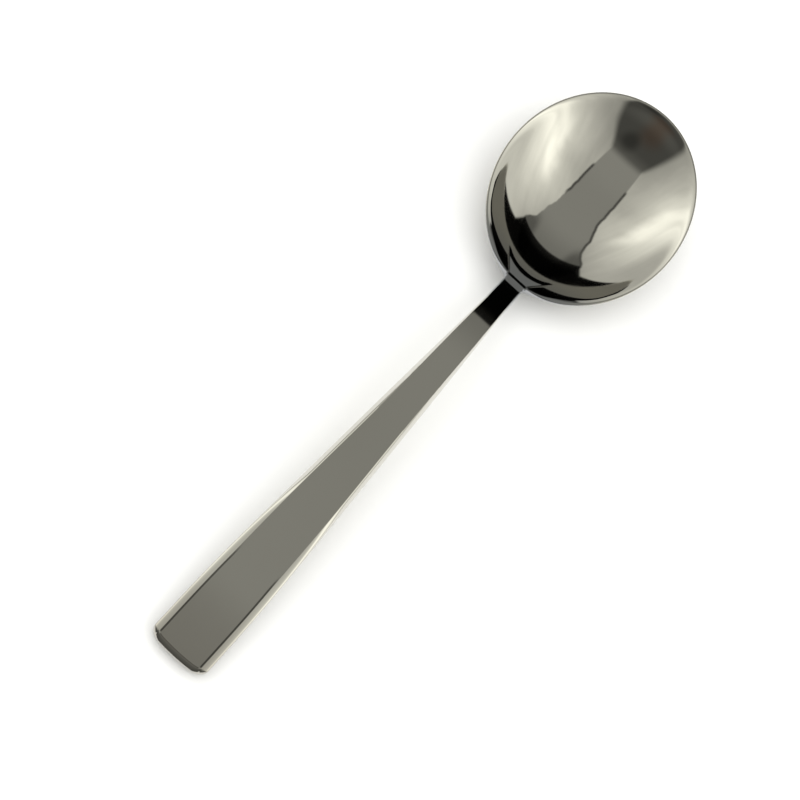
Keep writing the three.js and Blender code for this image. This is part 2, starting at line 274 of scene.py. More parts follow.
def plan_half(x):
    """Half the plan width of bowl and neck: cube root of the ellipse cubed plus the neck cubed."""
    ellipse = HALF_BREADTH * np.sqrt(np.maximum(0, 1 - (x / HALF_LENGTH) ** 2))
    neck = taper(-HALF_LENGTH - x) * ease(0, HALF_LENGTH, -x)
    return (ellipse**OUTLINE_BLEND + neck**OUTLINE_BLEND) ** (1 / OUTLINE_BLEND)


def arc_share(share):
    """Depth of a circular arc below its chord, as a share, at a share of the half chord."""
    level = np.sqrt(1 - (np.minimum(1, share) * math.sin(WALL_ANGLE)) ** 2)
    return (level - math.cos(WALL_ANGLE)) / (1 - math.cos(WALL_ANGLE))


def root_ledge(behind, y):
    """Ledge on which the neck starts, below the rim: a gentle slope with one small step, flat across
    a width that flares into the bowl, and flanks that rise from there to the rim."""
    slope = ROOT_SLOPE * soften(NECK_LEDGE - behind, NECK_LEDGE_ROUND)
    lift = soften(-ROOT_REACH - behind, ROOT_ROUND)
    step = ROOT_STEP * (1 - ease(ROOT_STEP_START, ROOT_STEP_END, behind))
    half = ROOT_WIDTH / 2 + ROOT_FLARE * soften(ROOT_FLARE_START - behind, ROOT_ROUND)
    flank = ROOT_FLANK * soften(np.abs(y) - half, ROOT_FLANK_ROUND) * (1 - ease(0, WINDOW, behind))
    return flank + lift - ROOT_DIP - slope - step


def top_height(x, y):
    """Inside of the bowl and top of the neck: the lower of the bowl's arc, rolled over into the rim
    and more so near the neck, and the root ledge, with a rounded change between them. The neck's
    sweep lifts both."""
    behind = -HALF_LENGTH - x
    out = np.hypot(x / (HALF_LENGTH - RIM_ROUND), y / (HALF_BREADTH - RIM_ROUND))
    roll = mix(RIM_ROLL, NEAR_ROLL, ease(NEAR_START, HALF_LENGTH, -x)) / HALF_LENGTH
    wall = -BOWL_DEPTH * arc_share(1 - soften(1 - out, roll))
    lower = wall - soften(wall - root_ledge(behind, y), ROOT_ROUND)
    return top_line(behind) + ROOT_DIP + lower


def back_height(x, y):
    """Back of the bowl and neck: an arc below the rim's thickness, less a heel that fades along
    the bowl and, by a fourth-power bell, across it."""
    behind = -HALF_LENGTH - x
    out = np.hypot(x / HALF_LENGTH, y / HALF_BREADTH)
    along = 1 - ease(0, HEEL_LENGTH, -behind)
    across = 1 / (1 + (y / (HEEL_WIDTH / 2)) ** HEEL_SQUARENESS)
    spread = mix(across, 1, ease(0, WINDOW, behind))
    rim = RIM_THICKNESS + NEAR_DEPTH * ease(0, HALF_LENGTH, -x)
    heel = (thickness(np.maximum(0, behind)) - rim + ROOT_DIP) * along * spread
    wall = (BOWL_DEPTH + BOWL_FLOOR - rim) * arc_share(out)
    return top_line(behind) + ROOT_DIP - rim - heel - wall


# Points of cross-sections


def on_handle(behind, y, z):
    """Points of a cross-section. The bowed end carries them forward by the square of their place
    across, along the line of the handle."""
    bow = END_BOW * ease(HANDLE_LENGTH - END_BOW_REACH, HANDLE_LENGTH, behind)
    forward = bow * (y / (HANDLE_WIDTH / 2)) ** 2
    climb = middle_line(behind - forward) - middle_line(behind)
    return np.stack(np.broadcast_arrays(forward - HALF_LENGTH - behind, y, z + climb), axis=-1)


def section(behind, top, back, half, edge):
    """Rings with flat top and back and half-elliptical sides, one for each place behind the rim."""
    behind, top, back, half, edge = (np.atleast_1d(v)[:, None] for v in (behind, top, back, half, edge))
    across = np.linspace(1, -1, ACROSS)
    turn = np.linspace(0, np.pi, LIP + 1)[1:-1]
    flat = half - edge
    side = flat + edge * np.sin(turn)
    y = np.concatenate([flat * across, -side, -flat * across, side], axis=1)
    level = np.concatenate([across**0, np.cos(turn), -(across**0), -np.cos(turn)])
    return on_handle(behind, y, (top + back) / 2 + (top - back) / 2 * level)


def neck_section(behind):
    """Rings of the neck's outside."""
    top = top_line(behind)
    return section(behind, top, top - thickness(behind), taper(behind), side_round(behind))


def tang_section(behind, clearance):
    """Rings of the tang, which narrows evenly to its tip, grown by a clearance."""
    share = (behind - SHOULDER) / TANG_LENGTH
    half = mix(TANG_WIDTH, TANG_TIP_WIDTH, share) / 2 + clearance
    rise = mix(TANG_THICKNESS, TANG_TIP_THICKNESS, share) / 2 + clearance
    middle = middle_line(behind)
    return section(behind, middle + rise, middle - rise, half, rise / 2)


def end_profile(bevel, drop):
    """Places behind the rim and drops of the face over the handle's end: straight, then a bevel that
    steepens a little, a rounded edge and an upright end, down to the seam."""
    foot, lean = bevel_foot(bevel, drop)
    straight = np.linspace(MOUTH, HANDLE_LENGTH - CORNER_LENGTH, HANDLE_STATIONS)
    turn = np.linspace(0, np.pi / 2, CORNER_STATIONS)[1:]
    corner = mix(HANDLE_LENGTH - CORNER_LENGTH, foot, np.sin(turn))
    sloped = np.concatenate([straight, corner])
    turn = np.linspace(lean, np.pi / 2, EDGE_STATIONS)[1:]
    rounded = HANDLE_LENGTH - END_ROUND * (1 - np.sin(turn))
    rounded_drop = drop + END_ROUND * (math.cos(lean) - np.cos(turn))
    seam_drop = (HANDLE_THICKNESS - SEAM_BRAZE) / 2
    upright_drop = np.linspace(rounded_drop[-1], seam_drop, EDGE_STATIONS)[1:]
    behind = np.concatenate([sloped, rounded, upright_drop * 0 + HANDLE_LENGTH])
    return behind, np.concatenate([bevel_drop(sloped, bevel, drop), rounded_drop, upright_drop])


def shell_surface(face, wall):
    """Half of the handle's surface, drawn in by a wall: across the flat face, over a soft shoulder that
    leans a little, down both sides to the seam, and over the end by the end's profile. The sides are
    superellipses, whose powers grow from a true ellipse at the mouth to a bevel that flattens towards
    the end, where the shoulder starts to lean. On the outside the end's bevel follows the corners."""
    bevel, drop = (END_BEVEL, END_DROP) if face > 0 else (END_BACK_BEVEL, END_BACK_DROP)
    behind, fallen = (v[:, None] for v in end_profile(bevel, drop))
    seam = SEAM_BRAZE / 2
    if wall:
        behind = mix(MOUTH, CAVITY_END, (behind - MOUTH) / (HANDLE_LENGTH - MOUTH))
        fallen = np.where(behind < CAVITY_END - LAST_STEP, 0, fallen)
        fallen = fallen * (1 - wall / (HANDLE_THICKNESS / 2 - seam))
    growth = ease(MOUTH, MOUTH + SHOULDER_GROWTH, behind)
    change = ease(SIDE_CHANGE, SIDE_CHANGED, behind)
    edge = side_round(behind) * mix(1, SIDE_NARROW, growth * (1 - change))
    widest = taper(behind) - wall
    flat = widest - corner_inset(behind) - edge
    start = flat - SHOULDER_SHARE * edge
    side = np.sin(np.pi / 2 * np.linspace(1, 0, SIDE_POINTS))
    shoulder = mix(flat, start, np.linspace(0, 1, SHOULDER_POINTS)[1:])
    half = np.concatenate([flat + edge * side, shoulder], axis=1)
    across = start * np.sin(np.pi / 2 * np.linspace(1, -1, FACE_ACROSS)[1:-1])
    y = np.concatenate([half, across, -half[:, ::-1]], axis=1)
    power = mix(mix(ELLIPSE_POWER, SIDE_DROP, growth), SIDE_END_DROP, change)
    level = (1 - side ** mix(ELLIPSE_POWER, SIDE_BEVEL, growth)) ** (1 / power)
    level = np.concatenate([level, shoulder * 0 + 1], axis=1)
    level = np.concatenate([level, across * 0 + 1, level[:, ::-1]], axis=1)

    if not wall:
        fallen = np.maximum(fallen, bevel_drop(behind + corner_gap(y, widest), bevel, drop))
    full = thickness(behind) / 2 - wall
    rise = np.maximum(full - fallen, seam)
    lean = math.tan(SHOULDER_LEAN) * change * (rise - seam) / (full - seam)
    fall = lean * (flat + edge - start)
    z = seam + (rise - seam - fall) * level + fall - lean * soften(np.abs(y) - start, SHOULDER_ROUND)
    return on_handle(behind, y, middle_line(behind) + face * z)


# Closed pieces gathered from rows of points


class Skin:
    """The points and faces of one closed piece."""

    def __init__(self):
        self.points = np.empty((0, 3))
        self.faces = []

    def add(self, points):
        """Adds points, whole arrays at a time, and gives their numbers in the same layout."""
        first = len(self.points)
        self.points = np.vstack([self.points, points.reshape(-1, 3)])
        return np.arange(first, len(self.points)).reshape(points.shape[:-1])

    def grid(self, rows):
        """Four-sided faces between neighbouring rows and columns of point numbers."""
        corners = [rows[:-1, :-1], rows[1:, :-1], rows[1:, 1:], rows[:-1, 1:]]
        self.faces += np.stack(corners, axis=-1).reshape(-1, 4).tolist()

    def tube(self, rows):
        """The same, with each row closed on itself."""
        self.grid(np.concatenate([rows, rows[:, :1]], axis=1))

    def zipped(self, spine, ring):
        """Faces from a closed ring to a spine inside it, which has one number for each point of the
        ring: four-sided where the spine moves on, three-sided where it stays."""
        moves = spine != np.roll(spine, -1)
        corners = np.stack([spine, ring, np.roll(ring, -1), np.roll(spine, -1)], axis=-1)
        self.faces += corners[moves].tolist() + corners[~moves, :3].tolist()

    def fan(self, hub, ring):
        """Three-sided faces from a hub to a closed ring."""
        centre = np.broadcast_to(self.add(np.array([hub])), ring.shape)
        self.faces += np.stack([centre, ring, np.roll(ring, -1)], axis=-1).tolist()


def bowl_outline():
    """Plan outline from the neck's window round the tip and back, with its outward normals: places
    along the length follow a cosine, so that they crowd at the tip and the neck."""
    turn = np.linspace(0, np.pi, OUTLINE_STEPS)
    ledge = -HALF_LENGTH - np.linspace(0, WINDOW, LEDGE_STEPS)[1:]
    side = np.concatenate([HALF_LENGTH * np.cos(turn), ledge])
    half = plan_half(side)
    x = np.concatenate([side[:0:-1], side])
    y = np.concatenate([-half[:0:-1], half])
    outline = np.stack([x, y], axis=-1)
    run = np.gradient(outline, axis=0)
    outward = np.stack([run[:, 1], -run[:, 0]], axis=-1)
    return outline, outward / np.linalg.norm(outward, axis=-1, keepdims=True)


def rim_lip(outline, outward):
    """Rounded rim from the inside to the back: half an ellipse in the plane of the outline's normal,
    sheared so that each end leaves its sheet along that sheet's own slope, up to a steepest one. The
    rim widens towards the neck and narrows again just before it."""
    behind = -HALF_LENGTH - outline[:, 0]
    near = ease(-HALF_LENGTH, 0, behind) * (1 - ease(-NEAR_LIP_END, 0, behind))
    inset = mix(RIM_ROUND, NECK_EDGE, ease(0, WINDOW, behind)) + NEAR_LIP * near
    inner = outline - inset[:, None] * outward
    step = SLOPE_STEP * outward
    turn = np.linspace(0, np.pi, LIP + 1)[:, None]
    reach = inset * np.sin(turn)
    height = 0
    for sheet, share in ((top_height, (1 + np.cos(turn)) / 2), (back_height, (1 - np.cos(turn)) / 2)):
        slope = (sheet(*(inner + step).T) - sheet(*(inner - step).T)) / (2 * SLOPE_STEP)
        slope = np.clip(slope, -LIP_SLOPE, LIP_SLOPE)
        height = height + share * (sheet(*inner.T) + reach * slope)
    place = inner + reach[..., None] * outward
    return np.concatenate([place, height[..., None]], axis=-1)


def on_sheet(place, height):
    """Places in plan, with a sheet's height worked out at each."""
    return np.concatenate([place, height(place[..., 0], place[..., 1])[..., None]], axis=-1)


def sheet_spine(outline):
    """Places that the bowl's sheets shrink to, and the number of the place for each point of a sheet's
    edge: the bowl's middle for the front half, then places that run back by the cube of the share of
    the way to the neck's window. The window's points share the last one."""
    stations = len(outline) // 2
    share = np.minimum(0, outline[stations:, 0]) / outline[-1, 0]
    first = np.count_nonzero(share == 0) - 1
    places = np.stack([-SPINE_REACH * share[first:] ** 3, 0 * share[first:]], axis=-1)
    number = np.maximum(0, np.arange(stations + 1) - first)
    from_tip = np.abs(np.arange(len(outline)) - stations)
    return places, number[np.concatenate([from_tip, np.full(ACROSS - 2, stations)])]


def sheet_rings(loop, spine, height, count):
    """Rings that shrink from near a loop to near its spine, crowded towards the loop by a sine."""
    share = np.linspace(0, 1, count + 1)[1:-1]
    share = mix(share, np.sin(np.pi / 2 * share), RING_CROWDING)[:, None, None]
    return on_sheet(spine + share * (loop - spine), height)


def bowl_skin():
    """Bowl, neck and tang: two sheets joined by the lip, then rings from the neck's window back."""
    skin = Skin()
    outline, outward = bowl_outline()
    lip = skin.add(rim_lip(outline, outward))
    skin.grid(lip)

    spine, number = sheet_spine(outline)
    windows = []
    for row, height, count in ((0, top_height, TOP_RINGS), (-1, back_height, BACK_RINGS)):
        edge = skin.points[lip[row], :2]
        across = mix(edge[-1], edge[0], np.linspace(0, 1, ACROSS)[1:-1, None])
        window = skin.add(on_sheet(across, height))
        windows.append(window)
        loop = np.concatenate([lip[row], window])
        rings = skin.add(sheet_rings(skin.points[loop, :2], spine[number], height, count))
        rows = np.concatenate([rings, loop[None]])
        middle = skin.add(on_sheet(spine, height))[number]
        if row == 0:
            skin.tube(rows)
            skin.zipped(middle, rows[0])
        else:
            skin.tube(rows[::-1])
            skin.zipped(middle[::-1], rows[0][::-1])

    top, back = windows
    near_side = np.concatenate([lip[:, 0], back[::-1]])
    far_side = lip[::-1, -1]
    first = np.concatenate([far_side[-1:], top, near_side, far_side[:-1]])
    neck = neck_section(np.linspace(WINDOW, SHOULDER, NECK_STATIONS)[1:])
    tang = tang_section(np.linspace(SHOULDER, SHOULDER + TANG_LENGTH, TANG_STATIONS), 0)
    rings = np.concatenate([first[None], skin.add(np.concatenate([neck, tang]))])
    skin.tube(rings)
    skin.fan(skin.points[rings[-1]].mean(axis=0), rings[-1][::-1])
    return skin


def shell_skin(face):
    """One pressed half of the handle: its outer and inner surfaces, joined at seam, mouth and end."""
    skin = Skin()
    outer = skin.add(shell_surface(face, 0)[:, ::face])
    inner = skin.add(shell_surface(face, SHELL_WALL)[:, ::face])
    skin.tube(np.concatenate([outer, inner[:, ::-1]], axis=1))
    skin.grid(np.stack([inner[0], outer[0]]))
    skin.grid(np.stack([outer[-1], inner[-1]]))
    return skin


def seam_skin():
    """The braze between the half shells: a flat strip carried along their facing edges, down one
    side, across the end and back up the other side."""
    edges = []
    for face, wall in ((1, 0), (1, SHELL_WALL), (-1, SHELL_WALL), (-1, 0)):
        surface = shell_surface(face, wall)
        edges.append(np.concatenate([surface[:, 0], surface[-1, 1:-1], surface[::-1, -1]]))
    skin = Skin()
    rings = skin.add(np.stack(edges, axis=1))
    skin.tube(rings)
    skin.faces += [rings[0].tolist(), rings[-1][::-1].tolist()]
    return skin


def mouth_skin():
    """The ring of braze at the mouth: outside rings, then back inside them round the tang."""
    skin = Skin()
    ends = np.array([SHOULDER, MOUTH])
    rings = skin.add(np.concatenate([neck_section(ends), tang_section(ends[::-1], TANG_GAP)]))
    skin.tube(np.concatenate([rings, rings[:1]]))
    return skin


def turned(points):
    """Points turned about Y by the tilt at which the spoon rests, and scaled to metres."""
    turn = np.array(Matrix.Rotation(REST_TILT, 3, "Y"))
    return points @ turn.T * MM


def dress(name, points, faces, node, material):
    """Makes a smooth-shaded piece, with points that coincide merged, which stands for a node of the
    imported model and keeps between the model's lowest and highest levels."""
    points[:, 2] = np.clip(points[:, 2], cad_box[0][2], cad_box[1][2])
    mesh = bpy.data.meshes.new(name)
    mesh.from_pydata(points, [], faces)
    joined = bmesh.new()
    joined.from_mesh(mesh)
    bmesh.ops.remove_doubles(joined, verts=joined.verts, dist=SAME_POINT)
    joined.to_mesh(mesh)
    joined.free()
    mesh.polygons.foreach_set("use_smooth", np.ones(len(mesh.polygons), bool))
    mesh.set_sharp_from_angle(angle=SHARP_ANGLE)
    mesh.materials.append(material)
    piece = bpy.data.objects.new(name, mesh)
    bpy.context.scene.collection.objects.link(piece)
    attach(piece, "root")
    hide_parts(node)
    return piece


# Shader expressions


class Wire:
    """A socket in a node tree. Arithmetic on it adds Math nodes."""

    def __init__(self, tree, socket=None):
        self.tree = tree
        self.socket = socket

    def add(self, kind, inputs=None, out=0, **settings):
        """A new node of a type, with its settings, then the values or links of its sockets."""
        node = self.tree.nodes.new(kind)
        for name, value in settings.items():
            setattr(node, name, value)
        for name, value in (inputs or {}).items():
            if isinstance(value, Wire):
                self.tree.links.new(value.socket, node.inputs[name])
            else:
                node.inputs[name].default_value = value
        return Wire(self.tree, node.outputs[out] if node.outputs else None)

    def math(self, operation, first, second=0.0):
        """A Math node on one or two values."""
        return self.add("ShaderNodeMath", {0: first, 1: second}, operation=operation)

    def __add__(self, other):
        return self.math("ADD", self, other)

    def __sub__(self, other):
        return self.math("SUBTRACT", self, other)

    def __rsub__(self, other):
        return self.math("SUBTRACT", other, self)

    def __mul__(self, other):
        return self.math("MULTIPLY", self, other)

    def __pow__(self, other):
        return self.math("POWER", self, other)

    __radd__ = __add__
    __rmul__ = __mul__

    def __abs__(self):
        return self.math("ABSOLUTE", self)

    def ease(self, start, end):
        """Smooth step from 0 to 1 as this value goes from start to end."""
        places = {"Value": self, "From Min": start, "From Max": end}
        return self.add("ShaderNodeMapRange", places, interpolation_type="SMOOTHSTEP")

    def towards(self, other, share):
        """Straight-line mix of this value and another."""
        return self + (other - self) * share

    def parts(self):
        """The three parts of a vector."""
        split = self.add("ShaderNodeSeparateXYZ", {0: self}).socket.node
        return [Wire(self.tree, socket) for socket in split.outputs]

    def noise(self, scale, detail):
        """Noise on this vector, about 0.5 in the middle."""
        return self.add("ShaderNodeTexNoise", {"Vector": self, "Scale": scale, "Detail": detail})

    def stretched(self, *scale):
        """This vector with its parts scaled."""
        return self.add("ShaderNodeMapping", {"Vector": self, "Scale": scale})


def new_tree(owner):
    """An empty node tree for a material or world."""
    owner.use_nodes = True
    owner.node_tree.nodes.clear()
    return Wire(owner.node_tree)


def new_material(name, shader_inputs):
    """A material with one Principled shader, whose sockets come from a function of the tree and the
    object's own coordinates."""
    material = bpy.data.materials.new(name)
    tree = new_tree(material)
    place = tree.add("ShaderNodeTexCoord", out="Object")
    shader = tree.add("ShaderNodeBsdfPrincipled", shader_inputs(tree, place))
    tree.add("ShaderNodeOutputMaterial", {"Surface": shader})
    return material


# Finishes, with noise scales in waves per metre

STEEL_LIGHT = (0.63, 0.615, 0.57, 1)
STEEL_DEEP = (0.59, 0.575, 0.53, 1)
# Darker steel for the painted shade towards the handle's end
STEEL_END_SHADE = (0.48, 0.46, 0.42, 1)
# Darker, cooler steel for the painted shade at the neck's root, which greys its reflections
STEEL_NECK_SHADE = (0.42, 0.428, 0.445, 1)
STEEL_TINT_SCALE = 30
POLISH_ROUGHNESS = 0.045
POLISH_BUMP = {"Strength": 0.5, "Distance": 8e-6}
SMUDGE_SCALE = 55
SMUDGE_SPAN = (0.48, 0.78)
SMUDGE_DULLS = 0.035
SCRATCH_SPAN = (0.62, 0.8)
SCRATCH_DULLS = 0.05
SCRATCH_DEPTH = 0.02
WAVE_SCALE = 90
WAVE_HEIGHT = 0.9
LINE_FINENESS = 2600
LINE_ALONG = 60
LINE_ROUND = 1.5
LINE_DRIFT = 40
# Span, noise scale and waver of the painted shade towards the handle's end
END_SHADE_SPAN = (0.088, 0.116)
END_SHADE_SCALE = 40
END_SHADE_WAVER = 0.02
# Spans of the painted shade at the neck's root
NECK_SHADE_SPAN = (0.020, 0.033)
NECK_SHADE_FADE = (-0.050, -0.040)

BRAZE_LIGHT = (0.63, 0.61, 0.56, 1)
BRAZE_DEEP = (0.58, 0.56, 0.5, 1)
BRAZE_TINT_SCALE = 700
BRAZE_ROUGHNESS = 0.05
BRAZE_GRAIN_SCALE = 1500
BRAZE_GRAIN_DULLS = 0.04

CEMENT_LIGHT = (0.22, 0.18, 0.14, 1)
CEMENT_DEEP = (0.13, 0.10, 0.08, 1)
CEMENT_ROUGHNESS = 0.75
CEMENT_BUMP = {"Strength": 0.6, "Distance": 2e-4}
GRIT_SCALE = 1400
GRIT_DULLS = 0.2

BOARD_LIGHT = (0.89, 0.89, 0.89, 1)
BOARD_DEEP = (0.86, 0.86, 0.86, 1)
BOARD_TINT_SCALE = 9
BOARD_ROUGHNESS = 0.6
BOARD_GRAIN_SCALE = 120
BOARD_GRAIN_DULLS = 0.1


def tinted(tree, share, deep, light):
    """A colour between two, by a share that varies over the surface."""
    return tree.add("ShaderNodeMix", {0: share, 6: deep, 7: light}, out=2, data_type="RGBA")


def polish(tree, place, lines, painted_shade, shade_tint):
    """Sockets of mirror-polished steel: a tint that drifts, mixed towards a darker tint by a share
    of painted shade, a gloss dulled by smudges and by the fine lines that wiping leaves, and a
    faint waviness under both."""
    smudge = place.noise(SMUDGE_SCALE, 4).ease(*SMUDGE_SPAN)
    scratch = lines.ease(*SCRATCH_SPAN)
    waves = place.noise(WAVE_SCALE, 1)
    height = waves * WAVE_HEIGHT - scratch * SCRATCH_DEPTH
    steel = tinted(tree, place.noise(STEEL_TINT_SCALE, 3), STEEL_DEEP, STEEL_LIGHT)
    return {
        # Painted shade: the steel's tint is mixed towards a darker one by the share given
        "Base Color": tinted(tree, painted_shade, steel, shade_tint),
        "Metallic": 1.0,
        "Roughness": POLISH_ROUGHNESS + smudge * SMUDGE_DULLS + scratch * SCRATCH_DULLS,
        "Normal": tree.add("ShaderNodeBump", {**POLISH_BUMP, "Height": height}),
    }


def handle_steel(tree, place):
    """Polish whose wiping lines run along the handle, with painted shade darkening its end."""
    x, _, _ = place.parts()
    # Painted shade: a share that grows towards the handle's end and darkens its steel
    end_shade = (-1 * x + place.noise(END_SHADE_SCALE, 2) * END_SHADE_WAVER).ease(*END_SHADE_SPAN)
    lines = place.stretched(LINE_ALONG, LINE_FINENESS, LINE_FINENESS).noise(1, 3)
    return polish(tree, place, lines, end_shade, STEEL_END_SHADE)


def bowl_steel(tree, place):
    """Polish whose wiping lines run round the bowl: noise on the distance from its middle and, much
    more slowly, on the way round. Painted shade makes the steel darker and cooler at the neck's
    root, so that the reflections there are greyer."""
    centred = place.add("ShaderNodeMapping", {"Vector": place, "Location": (-bowl_middle, 0, 0)})
    x, y, _ = centred.parts()
    out = (x * x + y * y) ** 0.5
    way = tree.math("ARCTAN2", y, x)
    ring = {0: out * LINE_FINENESS, 1: way * LINE_ROUND, 2: out * LINE_DRIFT}
    lines = tree.add("ShaderNodeCombineXYZ", ring).noise(1, 3)
    # Painted shade at the neck's root: a share that darkens and cools the steel there
    root = (-1 * x).ease(*NECK_SHADE_SPAN) * x.ease(*NECK_SHADE_FADE)
    return polish(tree, place, lines, root, STEEL_NECK_SHADE)


def buffed_braze(tree, place):
    """Sockets of silver braze, buffed flush with the steel."""
    return {
        "Base Color": tinted(tree, place.noise(BRAZE_TINT_SCALE, 3), BRAZE_DEEP, BRAZE_LIGHT),
        "Metallic": 1.0,
        "Roughness": BRAZE_ROUGHNESS + place.noise(BRAZE_GRAIN_SCALE, 2) * BRAZE_GRAIN_DULLS,
    }


def resin_cement(tree, place):
    """Sockets of dark, gritty resin cement."""
    grit = place.noise(GRIT_SCALE, 5)
    return {
        "Base Color": tinted(tree, grit, CEMENT_DEEP, CEMENT_LIGHT),
        "Roughness": CEMENT_ROUGHNESS + grit * GRIT_DULLS,
        "Normal": tree.add("ShaderNodeBump", {**CEMENT_BUMP, "Height": grit}),
    }


def pale_board(tree, place):
    """Sockets of the pale table top."""
    return {
        "Base Color": tinted(tree, place.noise(BOARD_TINT_SCALE, 2), BOARD_DEEP, BOARD_LIGHT),
        "Roughness": BOARD_ROUGHNESS + place.noise(BOARD_GRAIN_SCALE, 2) * BOARD_GRAIN_DULLS,
    }


# Light tent, with spans of angles in degrees and light as a share of full brightness

LEAST_HEIGHT = 0.001
AHEAD_SPAN = (-0.01, 0.01)
LEFT_SPAN = (-0.02, 0.02)

WALL_LIGHT = 0.62
WALL_GAIN = 0.6
WALL_GAIN_SPAN = (22, 76)
WALL_NEAR_LIGHT = 0.5
WALL_NEAR_SPAN = (-50, -4)
WALL_FAR_LOSS = 0.42
WALL_FAR_SPAN = (36, 70)
WALL_DRIFT = 0.004
BELT_GAIN = 0.22
BELT_RISE = (2, 20)
BELT_FALL = (24, 44)
STREAK_GAIN = 0.4
STREAK_PLACE = 71
STREAK_BEND = 14
STREAK_WIDTH = 15
STREAK_RISE = (-22, 0)
STREAK_FALL = (24, 38)
CLOTH_LIGHT = 0.74
FOLD_STRETCH = (3, 1.2, 2)
FOLD_SCALE = 1.6
FOLD_GAIN = 0.2
PLEAT_SLANT = 0.5
PLEAT_ACROSS = 0.1
PLEAT_ALONG = 0.025
PLEAT_SIDE = 5
PLEAT_GAIN = 0.32

ROOF_LIGHT = 0.335
ROOF_MIDDLE_LOSS = 0.02
ROOF_MIDDLE_SPAN = (-12, 6)
ROOF_FAR_LOSS = 0.08
ROOF_FAR_SPAN = (34, 58)
ROOF_CORNER_LOSS = 0.45
ROOF_CORNER_ALONG = (40, 53)
ROOF_CORNER_ACROSS = (19, 29)
STRIP_HALF = 20.3
STRIP_FLARE = 9
STRIP_FLARE_SPAN = (15, 50)
STRIP_END_FLARE = 14
STRIP_END_SPAN = (45, 60)
STRIP_EDGE = (-0.8, 0.8)
WAVER_WIDTH = 6
WAVER_SPAN = (-2, 8)
WAVER_ALONG = 0.08
WAVER_SIDE = 7
SEAM_LIGHT = 0.09
SEAM_EDGE = (0.3, 2)
SEAM_START = (-10, -7)
SHORT_SEAM_END = (15, 22)

NEAR_END_LIGHT = 0.08
NEAR_END_TOP_GAIN = 0.07
NEAR_END_TOP_SPAN = (22, 34)
NEAR_END_MIDDLE_GAIN = 0.08
NEAR_END_MIDDLE_SPAN = (44, 58)
NEAR_END_LOW_GAIN = 0.06
NEAR_END_LOW_SPAN = (56, 66)
NEAR_END_FOOT_LOSS = 0.5
NEAR_END_FOOT_SPAN = (68, 86)
NEAR_END_START = (21, 27)
NEAR_END_SIDE = (35, 45)
NEAR_END_TAPER = 14
NEAR_END_TAPER_SPAN = (47, 62)
NEAR_END_BULGE = 4
NEAR_END_BULGE_SPAN = (26, 42)
NEAR_BASE_HEIGHT = (0.24, 0.32)
NEAR_BASE_SIDE = (74, 82)
SPOT_LOSS = 0.45
SPOT = {"low": 35, "aside": -7, "stretch": 0.6, "edge": (2, 10)}
BLUSH = {"low": 47, "aside": 2, "stretch": 0.5, "edge": (2, 13)}

FAR_END_START = (57.5, 59)
FAR_END_SHARE = 0.96
FAR_END_FADE = (59, 66)
FAR_END_SIDE = (28, 30)
FAR_END_LOSS = 0.996
FAR_BASE_SIDE = 29
FAR_BASE_SLOPE = 0.0125
FAR_BASE_EDGE = (0.68, 0.71)

TENT_TINT = (1, 1, 0.92, 1)
BLUSH_TINT = (1, 0.8, 0.65, 1)
BACKDROP_TINT = (1, 1, 1, 1)
BACKDROP_LIGHT = 0.9


class TentView:
    """A direction seen in the tent. Along is its angle from overhead towards the bowl's tip and low the
    same towards the handle, across is its angle to either side and aside the same with a sign, and
    compass is its angle from the spoon's length seen from above, all in degrees. Ahead and left are
    shares that change from 0 to 1 in the middle, and height is its upward part."""

    def __init__(self, tree):
        self.tree = tree
        self.way = tree.add("ShaderNodeTexCoord", out="Generated")
        x, y, self.height = self.way.parts()
        up = tree.math("MAXIMUM", self.height, LEAST_HEIGHT)
        self.along = self.angle(x, up)
        self.low = -1 * self.along
        self.across = self.angle(abs(y), up)
        self.aside = self.angle(y, up)
        self.compass = self.angle(abs(y), abs(x))
        self.ahead = x.ease(*AHEAD_SPAN)
        self.left = y.ease(*LEFT_SPAN)

    def angle(self, part, base):
        """Angle of a part over a base, in degrees."""
        return self.tree.math("ARCTAN2", part, base) * math.degrees(1)

    def blot(self, low, aside, stretch, edge):
        """A soft round blot, from the distance to its middle."""
        away = ((self.low - low) ** 2 + (self.aside * stretch - aside) ** 2) ** 0.5
        return 1 - away.ease(*edge)


def cloth_walls(view):
    """Light of the two white walls, which brighten towards the horizon and dim towards both ends. A
    belt round their middle is brighter, and each has a bright slanted streak. Noise gives soft folds
    and slanted pleats."""
    along = view.along
    folds = view.way.stretched(*FOLD_STRETCH).noise(FOLD_SCALE, 3)
    slant = view.across + along * PLEAT_SLANT
    pleat = {0: slant * PLEAT_ACROSS, 1: along * PLEAT_ALONG, 2: view.left * PLEAT_SIDE}
    pleats = view.tree.add("ShaderNodeCombineXYZ", pleat).noise(1, 4)
    belt = along.ease(*BELT_RISE) * (1 - along.ease(*BELT_FALL))
    streak = 1 - abs(slant - STREAK_PLACE + folds * STREAK_BEND).ease(0, STREAK_WIDTH)
    streak = streak * along.ease(*STREAK_RISE) * (1 - along.ease(*STREAK_FALL))
    walls = WALL_LIGHT + view.across.ease(*WALL_GAIN_SPAN) * WALL_GAIN
    walls = walls * (1 + belt * BELT_GAIN) + streak * STREAK_GAIN
    walls = walls * (WALL_NEAR_LIGHT + along.ease(*WALL_NEAR_SPAN) * (1 - WALL_NEAR_LIGHT))
    walls = walls * (1 - along.ease(*WALL_FAR_SPAN) * WALL_FAR_LOSS)
    walls = walls * (1 - (view.left - 0.5) * along * WALL_DRIFT)
    return walls * (CLOTH_LIGHT + folds * FOLD_GAIN + pleats * PLEAT_GAIN)


